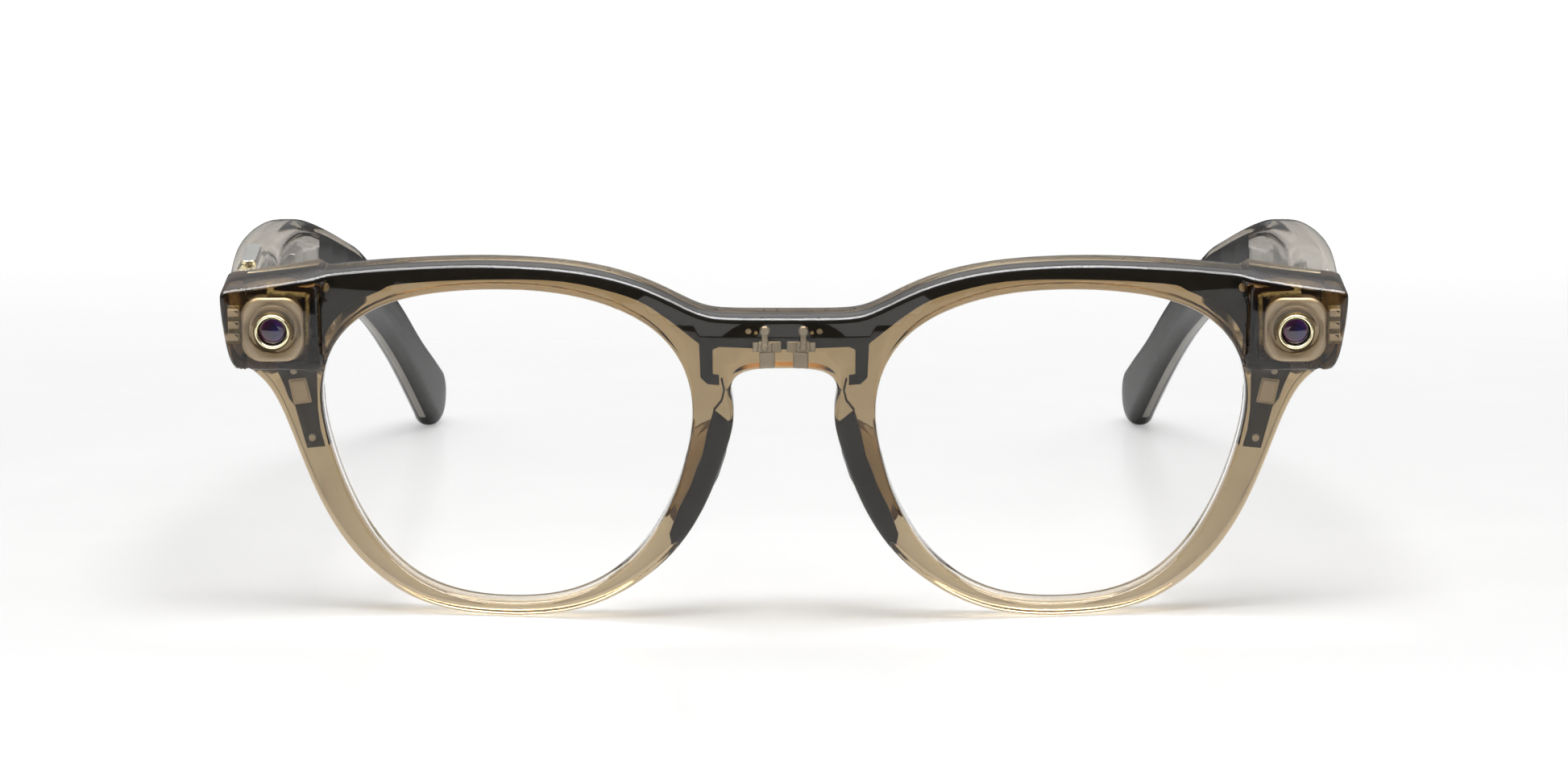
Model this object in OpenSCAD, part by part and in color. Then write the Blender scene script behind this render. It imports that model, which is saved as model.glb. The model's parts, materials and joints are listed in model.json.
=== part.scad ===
/* [Front] */
// Forward lean of the front's top edge, in degrees
lean = 7; // [6:0.5:8]
// Radius of the front's wrap around the face
wrap_r = 250; // [240:5:260]
// Thickness of the rim at its bottom
rim_t = 4; // [3.9:0.05:4.2]
// Extra thickness towards the brow, as an angle in degrees
wedge = 3; // [2.8:0.1:3.2]
// Thickness of the demo lenses
lens_t = 2; // [1.8:0.1:2]

/* [Camera pods] */
// Distance of each camera from the middle of the bridge
cam_x = 67.4; // [67.3:0.05:67.5]
// Height of each camera along the front's plane
cam_v = 38.3; // [38.2:0.05:38.4]
// Width of the bezel around each camera
bezel_w = 8.3; // [8:0.1:8.4]
// Height of the bezel around each camera
bezel_h = 8.8; // [8.6:0.1:8.9]
// Outer radius of the gold barrel
barrel_r = 2.35; // [2.2:0.05:2.35]

/* [Temples] */
// Distance from the front's datum to the end of each temple
temple_end = 160; // [159.5:0.5:160.5]
// Wall thickness of the temple shells
wall = 1.1; // [1:0.05:1.2]
// How far the capture button stands above the temple
button_proud = 0.45; // [0.4:0.05:0.7]

/* [Hinges] */
// Distance of each hinge pin from the middle
pin_x = 66; // [65.9:0.05:66.1]
// Distance of each hinge pin behind the front's datum
pin_y = 13.5; // [13.45:0.05:13.6]
// Radius of the hinge pins
pin_r = 0.6; // [0.5:0.05:0.65]
// Running clearance between pin and knuckles
pin_gap = 0.03; // [0.02:0.01:0.06]

/* [Hidden] */
$fn = 64;

// Shift that puts the origin under the middle of the whole object
mid_y = 77.43;
// Lowers the front so that the middle of each rim reaches the ground
front_drop = 0.3;
// Depth of the plane where the front's corners end and the temples start
butt_y = 11.6;
// Depth of the pods' flat faces in the front's own frame
pod_y = 6.3;
pod_x = 61.2;
pod_v = 32.8;
clear = 0.05;
// Depths behind the front surface, in the front's own frame
groove_y = 1.4;
flex_y = 1.8;
flex_t = 0.4;
pocket_y = 1.55;
pocket_end = 3.0;
cover_t = 1.1;
cavity_x = 0.2;
knuckle_r = 1.5;
knuckle_h = 1.5;
hinge_z = 39.5;
steps = 4;

// Right half of the outline, clockwise from the top of the bridge to the nose arch
OUTER = [
  [0, 41.7], [4, 41.7], [8, 41.7], [10.5, 42], [13, 43.1], [17.5, 45.4], [23, 47.1], [29, 47.9],
  [35, 48.1], [41, 48], [48, 47.4], [55, 46.6], [62, 45.4], [68, 44.4], [72.8, 43.8], [74.1, 43.6],
  [74.2, 42.5], [74, 39.5], [73.5, 36], [72.9, 33.6], [71.6, 32.6], [69.9, 31.4], [68.3, 29.9],
  [66.8, 27.3], [65.4, 23.7], [63.8, 19.3], [61.8, 14.4], [59.2, 9.8], [56, 6], [52, 2.9], [47.5, 0.9],
  [42.5, 0.1], [37, 0], [31.5, 0.3], [26, 1.5], [21, 4], [16.5, 7.4], [12.8, 11.6], [10, 16.9],
  [8.2, 21.8], [6.8, 26.5], [6.6, 29], [7.2, 31.5], [6.9, 33.5], [5.2, 34.7], [2.5, 35], [0, 35]
];
// Lens opening, clockwise from the nose side
APERTURE = [
  [11.9, 29], [12.9, 34.7], [16.3, 39.7], [22.3, 43], [29.5, 44.6], [36.8, 44.8], [44, 44.2], [51, 42.7],
  [56.6, 39.7], [60.1, 35.2], [61.3, 29.4], [60.4, 23.3], [58, 15.9], [54.3, 9.2], [49.2, 4.3],
  [43, 2.2], [36.5, 1.9], [30, 2.5], [24.2, 4.8], [19.2, 9.1], [15.5, 15.1], [13, 22]
];
// Lower edge of the flex from the bridge to the pod
FLEX_LOW = [
  [11.6, 38.4], [16.2, 42], [20.4, 44.2], [28.8, 46], [39.5, 45.9], [50.2, 45], [56.7, 42.6],
  [60.2, 39.4], [61.9, 36.9]
];
// One side of the nose: the arm behind the rim, the seat and its insert, and the pad
NOSE_ARM = [[8.4, 24.5], [9.8, 19.5], [11.8, 15], [13.6, 13], [14.6, 14.5], [12.6, 19], [11.2, 24.5]];
NOSE_SEAT = [[9.3, 26.4], [8.2, 25.4], [10.2, 18], [12.4, 13.6], [14.2, 13.2], [12.3, 18.6], [10.9, 25.6]];
NOSE_INSERT = [[9.2, 26], [8.4, 25.3], [10.4, 18], [12.5, 13.8], [14, 13.4], [12.1, 18.6], [10.7, 25.4]];
NOSE_PAD = [
  [7.9, 25], [8.3, 21.4], [9.6, 17.4], [11.6, 13.8], [13.4, 12.4], [14.8, 13.4], [14.4, 16],
  [12.8, 20], [11.4, 24.4], [9.4, 26]
];
// Side view of a temple: depth and height of its top and bottom edges
TOP = [
  [11.9, 45], [25, 47], [40, 47.5], [55, 46.6], [71.5, 43.7], [91, 39.2], [106, 34.8], [129, 23.9],
  [144, 15.2], [152, 11.1]
];
BOTTOM = [
  [11.9, 33.5], [25, 32.4], [45, 32.4], [60, 33], [75, 32.6], [90, 30.4], [105, 26.6], [120, 20.8],
  [131, 15], [139, 10.1], [147, 4.7], [151.5, 1.6]
];
// Plan view of a temple: distance of its outer face from the middle, and its thickness
OUTSIDE = [
  [11.9, 74.2], [30, 74.8], [50, 74], [70, 72.3], [90, 70], [110, 67.3], [130, 64.2], [164, 58.6]
];
THICK = [[11.9, 6.3], [40, 6.1], [65, 5.5], [90, 4.8], [120, 4.3], [164, 4.1]];

function cubic(a, b, c, d, t) =
  (a * pow(1 - t, 3) + b * (3 * pow(t, 3) - 6 * t * t + 4)
    + c * (-3 * pow(t, 3) + 3 * t * t + 3 * t + 1) + d * pow(t, 3)) / 6;
// Closed smooth loop through the neighbourhood of its control points
function loop(p, n = steps) = let (m = len(p))
  [for (i = [0 : m - 1], j = [0 : n - 1])
    cubic(p[(i + m - 1) % m], p[i], p[(i + 1) % m], p[(i + 2) % m], j / n)];
function catmull(a, b, c, d, t) =
  0.5 * (2 * b + (c - a) * t + (2 * a - 5 * b + 4 * c - d) * t * t + (3 * b - a - 3 * c + d) * pow(t, 3));
// Open smooth line through its control points
function line(p, n = steps) = let (m = len(p))
  concat([for (i = [0 : m - 2], j = [0 : n - 1])
    catmull(p[max(i - 1, 0)], p[i], p[i + 1], p[min(i + 2, m - 1)], j / n)], [p[m - 1]]);
function unit(v) = v / norm(v);
// A clockwise loop, grown by d
function grow(p, d) = let (m = len(p))
  [for (i = [0 : m - 1]) let (t = unit(p[(i + 1) % m] - p[(i + m - 1) % m])) p[i] + d * [-t.y, t.x]];
function mirrored(p) = [for (i = [len(p) - 2 : -1 : 1]) [-p[i].x, p[i].y]];
function outline(d) = grow(loop(concat(OUTER, mirrored(OUTER)), 3), 0.1 + d);
function aperture(d) = grow(loop(APERTURE), 0.25 + d);
// An open line, moved by d to its left
function beside(p, d) = let (m = len(p))
  [for (i = [0 : m - 1]) let (t = unit(p[min(i + 1, m - 1)] - p[max(i - 1, 0)])) p[i] + d * [-t.y, t.x]];
function reverse(p) = [for (i = [len(p) - 1 : -1 : 0]) p[i]];

module side(s) {
  mirror([s < 0 ? 1 : 0, 0, 0]) children();
}
module placed() {
  translate([0, -mid_y, 0]) children();
}
// From the front's own frame, x across, y to the back and z up its plane, to the object's
module leaning() {
  placed() translate([0, 0, -front_drop]) rotate([lean, 0, 0]) children();
}
module prism(y0, y1) {
  translate([0, y1, 0]) rotate([90, 0, 0]) linear_extrude(y1 - y0) children();
}
// The space between two depths behind the curved front surface
module bent(y0, y1) {
  translate([0, wrap_r, -10]) difference() {
    cylinder(r = wrap_r - y0, h = 70, $fn = 240);
    translate([0, 0, -1]) cylinder(r = wrap_r - y1, h = 72, $fn = 240);
  }
}
// Everything in front of the back surface, less d
module before_back(d = 0) {
  difference() {
    translate([-90, -5, -10]) cube([180, 60, 70]);
    translate([0, rim_t - d, 0]) rotate([-wedge, 0, 0])
      translate([0, wrap_r - rim_t, -20]) cylinder(r = wrap_r - rim_t, h = 90, $fn = 240);
  }
}

// ---- The front ----
module region(d = 0) {
  polygon(concat(
    [[0, 37.3 - d], [8.5 - d, 37.6 - d], [9.3 - d, 37.2 - d], [9.3 - d, 33.9 + d],
     [8.5 - d, 33.8 + d], [8.5 - d, 32.4 - d], [10 + d, 32.5 - d], [10.9 + d, 33.4 - d],
     [11.1 + d, 38.3 - d]],
    beside(line(FLEX_LOW), -d),
    [[62 + d, 37 - d], [62 + d, 60], [0, 60]]
  ));
}
module flex_shape(d = 0) {
  for (s = [1, -1]) mirror([s < 0 ? 1 : 0, 0]) intersection() {
    region(d);
    polygon(outline(d - 1.1));
  }
}
module board_shape(d = 0) {
  polygon([
    [61.3 - d, 22.4 - d], [63.4 + d, 22.1 - d], [65.1 + d, 26.6], [66.5 + d, 30.2], [67.1 + d, 33 + d],
    [62.9 - d, 33 + d], [62.9 - d, 29.6], [62.3 - d, 25.6]
  ]);
}
module rounded(w, h, r) {
  hull() for (x = [-1, 1], y = [-1, 1]) translate([x * (w / 2 - r), y * (h / 2 - r)]) circle(r, $fn = 32);
}
module at_camera() {
  translate([cam_x, cam_v]) children();
}
module rest_of_world() {
  placed() translate([-100, butt_y, -20]) cube([200, 50, 90]);
}
// The pocket beside each camera for the three contact blocks
contact_x = 71.85;
contact_w = 1.3;
contact_v = 36.5;
contact_pitch = 1.6;
module pod_solid() {
  prism(pod_y, 24) intersection() {
    polygon(outline(0));
    translate([pod_x, pod_v]) square([20, 20]);
  }
}
module nose_arm() {
  // The arm's back grows towards the nose pad
  prism(3, 8.4) polygon(NOSE_ARM);
}
module front_frame() {
  color([0.62, 0.54, 0.42, 0.6]) difference() {
    leaning() difference() {
      union() {
        intersection() {
          prism(-1, 30) polygon(outline(0));
          bent(0, 30);
          before_back();
        }
        for (s = [1, -1]) side(s) {
          pod_solid();
          nose_arm();
        }
      }
      for (s = [1, -1]) side(s) {
        prism(-5, 40) polygon(aperture(0));
        intersection() {
          prism(-5, 40) polygon(aperture(0.55));
          bent(groove_y, groove_y + lens_t + 0.1);
        }
        prism(pod_y + 1, 14.2) at_camera() rounded(bezel_w + 0.4, bezel_h + 0.4, 2.6);
        prism(0, 10) at_camera() circle(barrel_r + clear);
        prism(pod_y + 1.15, 30) translate([contact_x, contact_v])
          square([contact_w, 3 * contact_pitch - 0.4]);
        intersection() {
          prism(0, 30) board_shape(cavity_x);
          bent(pocket_y, pocket_end);
        }
        // Seats of the charging contacts, open at the underside of the bridge
        prism(1.2, 4.6) translate([1.3, 33]) square([2.3, 6.8]);
        intersection() {
          prism(2.2, 4.4) polygon(NOSE_SEAT);
        }
      }
      intersection() {
        prism(-5, 40) flex_shape(cavity_x);
        bent(pocket_y, 40);
      }
    }
    rest_of_world();
    for (s = [1, -1]) side(s) placed() translate([61.75, 10.3, 33.6]) cube([9.7, 5, 10.3]);
  }
}
module rear_cover() {
  color([0.62, 0.54, 0.42, 0.6]) leaning() difference() {
    intersection() {
      prism(-5, 40) flex_shape(cavity_x - clear);
      before_back(0);
    }
    before_back(cover_t);
    for (s = [1, -1]) side(s) translate([60.6, -5, 20]) cube([20, 60, 40]);
  }
}
module lens() {
  color([0.9, 0.93, 0.95, 0.2]) leaning() intersection() {
    prism(-5, 40) polygon(aperture(0.5));
    bent(groove_y + clear, groove_y + clear + lens_t);
  }
}
module camera_bezel() {
  color([0.6, 0.55, 0.47]) leaning() difference() {
    prism(pod_y + 1.1, 12) at_camera() rounded(bezel_w, bezel_h, 2.5);
    translate([cam_x, 0, cam_v]) rotate([-90, 0, 0]) {
      cylinder(r = 3.7, h = 8.3);
      cylinder(r = 3.2, h = 8.8);
      cylinder(r = barrel_r + clear, h = 20);
    }
  }
}
module camera_barrel() {
  color([0.78, 0.7, 0.48]) leaning() translate([cam_x, 0, cam_v]) rotate([-90, 0, 0]) difference() {
    translate([0, 0, 5.9]) cylinder(r = barrel_r, h = 6.1);
    cylinder(r = 1.75, h = 20);
  }
}
module camera_glass() {
  color([0.05, 0.03, 0.08]) leaning() translate([cam_x, 0, cam_v]) rotate([-90, 0, 0]) {
    translate([0, 0, 6.5]) intersection() {
      cylinder(r = 1.7, h = 3);
      translate([0, 0, 4]) sphere(r = 4, $fn = 64);
    }
    translate([0, 0, 9.5]) cylinder(r = 1.7, h = 0.8);
  }
}
module camera_sensor() {
  color([0.13, 0.13, 0.14]) leaning() prism(12.05, 13.9) at_camera() square([7.4, 7], center = true);
}
module pod_contacts() {
  // Three blocks side by side in the pod's outer wall
  color([0.72, 0.64, 0.45]) leaning() for (i = [0 : 2])
    translate([contact_x + clear, pod_y + 1.2, contact_v + clear + contact_pitch * i])
      cube([contact_w - 2 * clear, 0.9, 1.1]);
}
module front_flex() {
  color([0.06, 0.06, 0.06]) leaning() difference() {
    intersection() {
      prism(-5, 40) flex_shape(0);
      bent(flex_y, flex_y + flex_t);
    }
    for (s = [1, -1]) side(s) prism(0, 20) {
      translate([4.7, 39.4]) circle(r = 0.45);
      translate([60.3, 43.4]) circle(r = 0.62);
    }
  }
}
// The two screws that hold each board down the rim
board_screws = [[64.9, 32.2], [62.5, 23.5]];
module rim_board() {
  color([0.16, 0.15, 0.14]) leaning() difference() {
    intersection() {
      prism(-5, 40) board_shape(0);
      bent(pocket_y + 0.65, pocket_y + 1.1);
    }
    prism(0, 40) for (c = board_screws) translate(c) circle(r = 0.5);
  }
}
module rim_shield() {
  color([0.6, 0.58, 0.54]) leaning() intersection() {
    prism(-5, 40) translate([64.3, 29.6]) rotate(-12) square([2.1, 3.1], center = true);
    bent(pocket_y + 0.1, pocket_y + 0.6);
  }
}
module screw(x, v, y, r, h) {
  translate([x, y, v]) rotate([-90, 0, 0]) difference() {
    cylinder(r = r, h = h, $fn = 32);
    translate([0, 0, -0.1]) cylinder(r = r * 0.5, h = 0.25, $fn = 6);
  }
}
module front_screws() {
  color([0.5, 0.46, 0.4]) leaning() for (s = [1, -1]) side(s) {
    screw(4.7, 39.4, 1.8, 0.4, 1.5);
    for (c = board_screws) screw(c.x, c.y, c.x * c.x / (2 * wrap_r) + pocket_y + 0.35, 0.45, 1);
  }
}
pad_v = 34.8;
module charging_contact() {
  color([0.6, 0.55, 0.47]) leaning() {
    // The pad under the bridge, then the arm up to its terminal
    translate([1.35, 1.25, pad_v]) cube([2.2, 3.3, 2.1]);
    translate([1.75, 1.25, pad_v + 1]) cube([1.4, 0.5, 3.2]);
    translate([2.45, 1.25, pad_v + 4.1]) rotate([-90, 0, 0]) cylinder(r = 0.75, h = 0.5, $fn = 32);
  }
}
module nose_microphones() {
  color([0.7, 0.66, 0.55]) leaning() for (s = [1, -1]) side(s)
    translate([9.6, 2.55, 34.2]) cube([1.2, 0.8, 2]);
}
module nose_insert() {
  color([0.2, 0.2, 0.2]) leaning() prism(2.4, 4.2)
    polygon(NOSE_INSERT);
}
module nose_pad() {
  color([0.66, 0.58, 0.46, 0.6]) leaning() prism(8.45, 12.6)
    polygon(NOSE_PAD);
}

// ---- The hinges ----
module knuckle(i) {
  pitch = knuckle_h + 0.06;
  translate([pin_x, pin_y, hinge_z + (i - 2) * pitch]) cylinder(r = knuckle_r, h = knuckle_h, center = true);
}
module pin_bore() {
  translate([pin_x, pin_y, hinge_z - 10]) cylinder(r = pin_r + pin_gap, h = 20);
}
module hinge_plate() {
  color([0.62, 0.6, 0.56]) placed() difference() {
    union() {
      translate([61.85, 10.4, 33.7]) cube([9.5, 1.1, 10.1]);
      for (i = [0, 2, 4]) {
        knuckle(i);
        translate([pin_x - knuckle_r, 11.4, hinge_z + (i - 2) * (knuckle_h + 0.06) - knuckle_h / 2])
          cube([knuckle_r, pin_y - 11.4, knuckle_h]);
      }
    }
    pin_bore();
  }
}
module hinge_pin() {
  color([0.75, 0.72, 0.66]) placed() translate([pin_x, pin_y, hinge_z - 3.9]) {
    cylinder(r = pin_r, h = 7.8);
    translate([0, 0, 7.8]) difference() {
      cylinder(r = 1.1, h = 0.6);
      translate([-2, -0.15, 0.35]) cube([4, 0.3, 1]);
    }
  }
}
module temple_hinge() {
  color([0.62, 0.6, 0.56]) placed() difference() {
    union() {
      for (i = [1, 3]) {
        knuckle(i);
        translate([pin_x, pin_y, hinge_z + (i - 2) * (knuckle_h + 0.06) - knuckle_h / 2])
          cube([1.6, 2.2, knuckle_h]);
      }
      translate([66.75, 15.45, 36.2]) cube([1.5, 13, 6.6]);
    }
    pin_bore();
  }
}

// ---- The temples ----
function outside(d0, d1, d) = [for (p = line(OUTSIDE)) if (p.x >= d0 && p.x <= d1) [p.y - d, p.x]];
// Thickness of the temple at a depth, by straight lines between the listed places
function thick(y) = lookup(y, THICK);
function inside(d0, d1, d) = [for (p = line(OUTSIDE)) if (p.x >= d0 && p.x <= d1)
  [p.y - thick(p.x) + d, p.x]];
// A temple's plan between two depths, d_out in from its outer face and from d_in to its inner face
module plan(d0, d1, d_out, d_in, h = 60) {
  translate([0, 0, -5]) linear_extrude(h)
    polygon(concat(outside(d0, d1, d_out), reverse(inside(d0, d1, d_in))));
}
tip_r = 5;
// A thin upright layer behind the outer face, from a to b in from it
module layer(a, b) {
  linear_extrude(60) polygon(concat(outside(0, 200, a), reverse(outside(0, 200, b))));
}
// The end of the temple, round about this point
tip = [temple_end - tip_r, tip_r];
function tip_arc(d) = [for (a = [60 : -17 : -110]) tip + (tip_r - d) * [cos(a), sin(a)]];
// Side outline of a temple, d in from its edges
module profile(d) {
  translate([-100, 0, 0]) rotate([90, 0, 90]) linear_extrude(200)
    polygon(concat(
      [for (p = beside(line(TOP), -d)) [max(p.x, 11.9 + d), p.y]],
      tip_arc(d),
      reverse([for (p = beside(line(BOTTOM), d)) [max(p.x, 11.9 + d), p.y]])
    ));
}
// A band along the temple's bottom edge, from d0 to d1 inside it
module underside(d0, d1) {
  translate([-100, 0, 0]) rotate([90, 0, 90]) linear_extrude(200)
    polygon(concat(beside(line(BOTTOM), d0), reverse(beside(line(BOTTOM), d1))));
}
module between(d0, d1) {
  translate([-100, d0, -10]) cube([200, d1 - d0, 80]);
}
module hinge_room() {
  translate([pin_x, pin_y, hinge_z - 4.4]) cylinder(r = knuckle_r + 0.35, h = 9.4);
  translate([66.7, 15.4, 36.15]) cube([1.6, 13.1, 6.7]);
  translate([66, 13.5, 36.9]) cube([1.8, 2.5, 5.2]);
}
button_travel = 0.4;
// Depth of the button's flange below the temple's surface
flange_low = 2.8;
flange_t = 0.7;
// Centre of the button on the temple's surface, which slopes up to the back there
button_at = [71.9, 19.3, 46.2];
module at_button() {
  translate(button_at) rotate([7.5, 0, 0]) children();
}
board_x = 71.3;
board_z = 36.2;
board_h = 4.8;
module pill(w, l, h) {
  hull() for (s = [-1, 1]) translate([0, s * (l - w) / 2, 0]) cylinder(d = w, h = h, $fn = 32);
}
module temple_shell(s) {
  color([0.62, 0.54, 0.42, 0.6]) placed() difference() {
    intersection() {
      plan(0, 200, 0, wall + clear);
      profile(0);
    }
    intersection() {
      plan(0, 200, wall, wall);
      profile(1.5);
      between(14, 104);
    }
    // Groove of the seal along the underside
    intersection() {
      plan(0, 200, 2, wall);
      underside(0.4, 2.4);
      between(106, 148);
    }
    hinge_room();
    grille_slot(0.1);
    if (s < 0) at_button() translate([0, 0, -4]) pill(2.2, 9, 10);
  }
}
module temple_cover(s) {
  color([0.62, 0.54, 0.42, 0.6]) placed() difference() {
    intersection() {
      difference() {
        plan(0, 200, 0, 0);
        plan(-1, 210, -1, wall);
      }
      profile(0);
    }
    hinge_room();
    intersection() {
      plan(0, 200, 0, 0.55);
      profile(2.3);
      between(114, 154);
    }
    if (s > 0) translate([60, 33, 38]) rotate([0, 90, 0]) pill(2.4, 6.4, 12);
  }
}
module temple_seal() {
  color([0.45, 0.44, 0.42]) placed() intersection() {
    plan(0, 200, 2.05, wall + 0.06);
    underside(0.45, 2.35);
    between(106.05, 147.95);
  }
}
module tip_insert() {
  color([0.2, 0.2, 0.2]) placed() intersection() {
    plan(0, 200, 0, 0.6);
    difference() {
      plan(0, 200, 0, 0);
      plan(0, 210, -1, wall - 0.02);
    }
    profile(2.35);
    between(114.05, 153.95);
  }
}
// A slot in the temple's top, tilted along it
module grille_slot(d = 0) {
  translate([70.4, 61.5, 45.2]) rotate([-9, 0, 0]) translate([0, 0, -3]) pill(1.9 + 2 * d, 9 + 2 * d, 7);
}
module speaker() {
  color([0.12, 0.12, 0.12]) placed() translate([69.45, 60, 35.9]) rotate([-5, 0, 6.7]) cube([2.4, 14, 5.6]);
}
module speaker_grille() {
  color([0.03, 0.03, 0.03]) placed() intersection() {
    grille_slot(0);
    difference() {
      profile(0.3);
      profile(1.5);
    }
  }
}
module battery() {
  color([0.35, 0.36, 0.38]) placed()
    translate([67.95, 77.4, 34.8]) rotate([-11.5, 0, 6.6]) cube([1.9, 15.5, 5]);
}

module cylinder_between(r, z0, z1) {
  translate([0, 0, z0]) cylinder(r = r, h = z1 - z0, $fn = 32);
}
module main_board() {
  color([0.05, 0.13, 0.1]) placed() translate([board_x, 17.5, board_z]) rotate([0, 0, 1]) {
    cube([0.8, 39.5, board_h]);
    translate([0, 12, 0]) cube([0.8, 27.5, 7.2]);
  }
}
module board_shields() {
  // Three shield cans on the inner side of the main board
  color([0.66, 0.65, 0.62]) placed() translate([board_x, 17.5, board_z]) rotate([0, 0, 1])
    for (c = [[13, 8, 5.4], [22, 6, 4.2], [29.5, 9, 5.8]])
      translate([-1.1, c[0], 0.6]) cube([1.1, c[1], c[2]]);
}
module touch_sensor() {
  color([0.12, 0.11, 0.1]) placed() intersection() {
    layer(wall + 0.02, wall + 0.3);
    translate([60, 32, 36.6]) cube([20, 27, 6.4]);
  }
}
module button_switch() {
  color([0.62, 0.6, 0.56]) placed() translate([button_at.x, button_at.y, 0]) {
    translate([-0.8, -1.6, board_z + board_h]) cube([1.6, 4, 1.2]);
    cylinder_between(0.7, board_z + board_h + 1.2, button_at.z - flange_low - button_travel - 0.15);
  }
}
module wireless_antenna() {
  color([0.72, 0.6, 0.42]) placed() intersection() {
    layer(wall + 0.4, wall + 0.6);
    profile(2.6);
    between(96.5, 103.5);
  }
}
module switch_board() {
  color([0.05, 0.13, 0.1]) placed() translate([70.7, 30, 35.6]) cube([0.8, 26, 7.4]);
}
module temple_microphone() {
  color([0.7, 0.66, 0.55]) placed() translate([65.65, 97.5, 30.4]) rotate([0, 0, 7.5]) cube([1.1, 3.2, 2.2]);
}
module capture_button() {
  color([0.62, 0.6, 0.55]) placed() at_button() translate([0, 0, -flange_low]) {
    pill(2.6, 9.6, flange_t);
    pill(2, 8.8, flange_low + button_proud);
  }
}
module power_switch() {
  color([0.1, 0.1, 0.1]) placed() translate([0, 32, 38]) rotate([0, 90, 0]) {
    translate([0, 0, 67.9]) pill(2.3, 4.3, 2);
    translate([0, 0, 69.8]) pill(3.3, 7.6, 0.4);
  }
}

front_frame();
rear_cover();
lens();  // lens_left
side(-1) lens();  // lens_right
camera_bezel();  // camera_bezel_left
side(-1) camera_bezel();  // camera_bezel_right
camera_barrel();  // camera_barrel_left
side(-1) camera_barrel();  // camera_barrel_right
camera_glass();  // camera_glass_left
side(-1) camera_glass();  // camera_glass_right
camera_sensor();  // camera_sensor_left
side(-1) camera_sensor();  // camera_sensor_right
pod_contacts();  // pod_contacts_left
side(-1) pod_contacts();  // pod_contacts_right
front_flex();
rim_board();  // rim_board_left
side(-1) rim_board();  // rim_board_right
rim_shield();  // rim_shield_left
side(-1) rim_shield();  // rim_shield_right
front_screws();
charging_contact();  // charging_contact_left
side(-1) charging_contact();  // charging_contact_right
nose_microphones();
nose_insert();  // nose_insert_left
side(-1) nose_insert();  // nose_insert_right
nose_pad();  // nose_pad_left
side(-1) nose_pad();  // nose_pad_right
hinge_plate();  // hinge_plate_left
side(-1) hinge_plate();  // hinge_plate_right
hinge_pin();  // hinge_pin_left
side(-1) hinge_pin();  // hinge_pin_right
temple_shell(1);  // temple_shell_left
side(-1) temple_shell(-1);  // temple_shell_right
temple_cover(1);  // temple_cover_left
side(-1) temple_cover(-1);  // temple_cover_right
temple_hinge();  // temple_hinge_left
side(-1) temple_hinge();  // temple_hinge_right
temple_seal();  // temple_seal_left
side(-1) temple_seal();  // temple_seal_right
tip_insert();  // tip_insert_left
side(-1) tip_insert();  // tip_insert_right
speaker();  // speaker_left
side(-1) speaker();  // speaker_right
speaker_grille();  // speaker_grille_left
side(-1) speaker_grille();  // speaker_grille_right
battery();  // battery_left
side(-1) battery();  // battery_right
side(-1) main_board();
side(-1) board_shields();
side(-1) touch_sensor();
side(-1) button_switch();
side(-1) wireless_antenna();
switch_board();
temple_microphone();  // temple_microphone_left
side(-1) temple_microphone();  // temple_microphone_right
side(-1) capture_button();
power_switch();
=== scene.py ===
import bpy
import bmesh
import json
import math
from mathutils import Matrix, Vector, geometry


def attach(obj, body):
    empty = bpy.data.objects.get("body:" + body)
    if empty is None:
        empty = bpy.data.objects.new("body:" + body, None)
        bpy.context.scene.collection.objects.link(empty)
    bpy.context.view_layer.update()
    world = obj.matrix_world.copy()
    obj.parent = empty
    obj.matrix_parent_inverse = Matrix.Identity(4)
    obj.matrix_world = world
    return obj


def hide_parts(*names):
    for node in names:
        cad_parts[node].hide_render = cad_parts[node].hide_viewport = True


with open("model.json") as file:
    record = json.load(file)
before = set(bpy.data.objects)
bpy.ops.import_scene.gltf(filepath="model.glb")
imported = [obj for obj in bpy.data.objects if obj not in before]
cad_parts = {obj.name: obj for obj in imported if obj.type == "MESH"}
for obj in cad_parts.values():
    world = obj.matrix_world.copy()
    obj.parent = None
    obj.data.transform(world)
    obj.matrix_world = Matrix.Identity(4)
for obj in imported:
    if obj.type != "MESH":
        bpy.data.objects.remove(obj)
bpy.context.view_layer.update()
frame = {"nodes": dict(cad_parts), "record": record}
MM = 0.001

# ---------------------------------------------------------------- the frame
JOINTS = {j["name"]: j for j in frame["record"]["behaviour"]["joints"]}
HINGE = Vector(JOINTS["temple_left_fold"]["pos_m"])
LEAN = math.radians(7)          # the front's top edge leans forward
WEDGE = math.tan(math.radians(3))
WRAP = 250.0                    # mm, radius of the front's wrap
RIM = 4.0                       # mm, thickness at the rim's bottom
DROP = 0.3                      # mm
FRONT_Y = HINGE.y / MM - 13.5   # mm, the front's datum plane
BUTT = 11.6                     # mm behind the datum, where the corners end
POD_X, POD_V, POD_Y = 61.2, 32.8, 6.3
CAM = (67.4, 38.3)              # middle of each camera in the front's own plane


def leaned(x, y, v):
    """A point of the front's own frame (mm) in the row frame (m)."""
    c, s = math.cos(LEAN), math.sin(LEAN)
    return Vector((x, y * c - v * s + FRONT_Y, y * s + v * c - DROP)) * MM


def upright(x, y, z):
    """A point in mm, depth counted from the front's datum, in the row frame (m)."""
    return Vector((x, y + FRONT_Y, z)) * MM


def wrap(x):
    return WRAP - math.sqrt(WRAP * WRAP - x * x)


def smooth(a, b, t):
    t = min(max((t - a) / (b - a), 0.0), 1.0)
    return t * t * (3 - 2 * t)


def mix(a, b, t):
    return a + (b - a) * t


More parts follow.
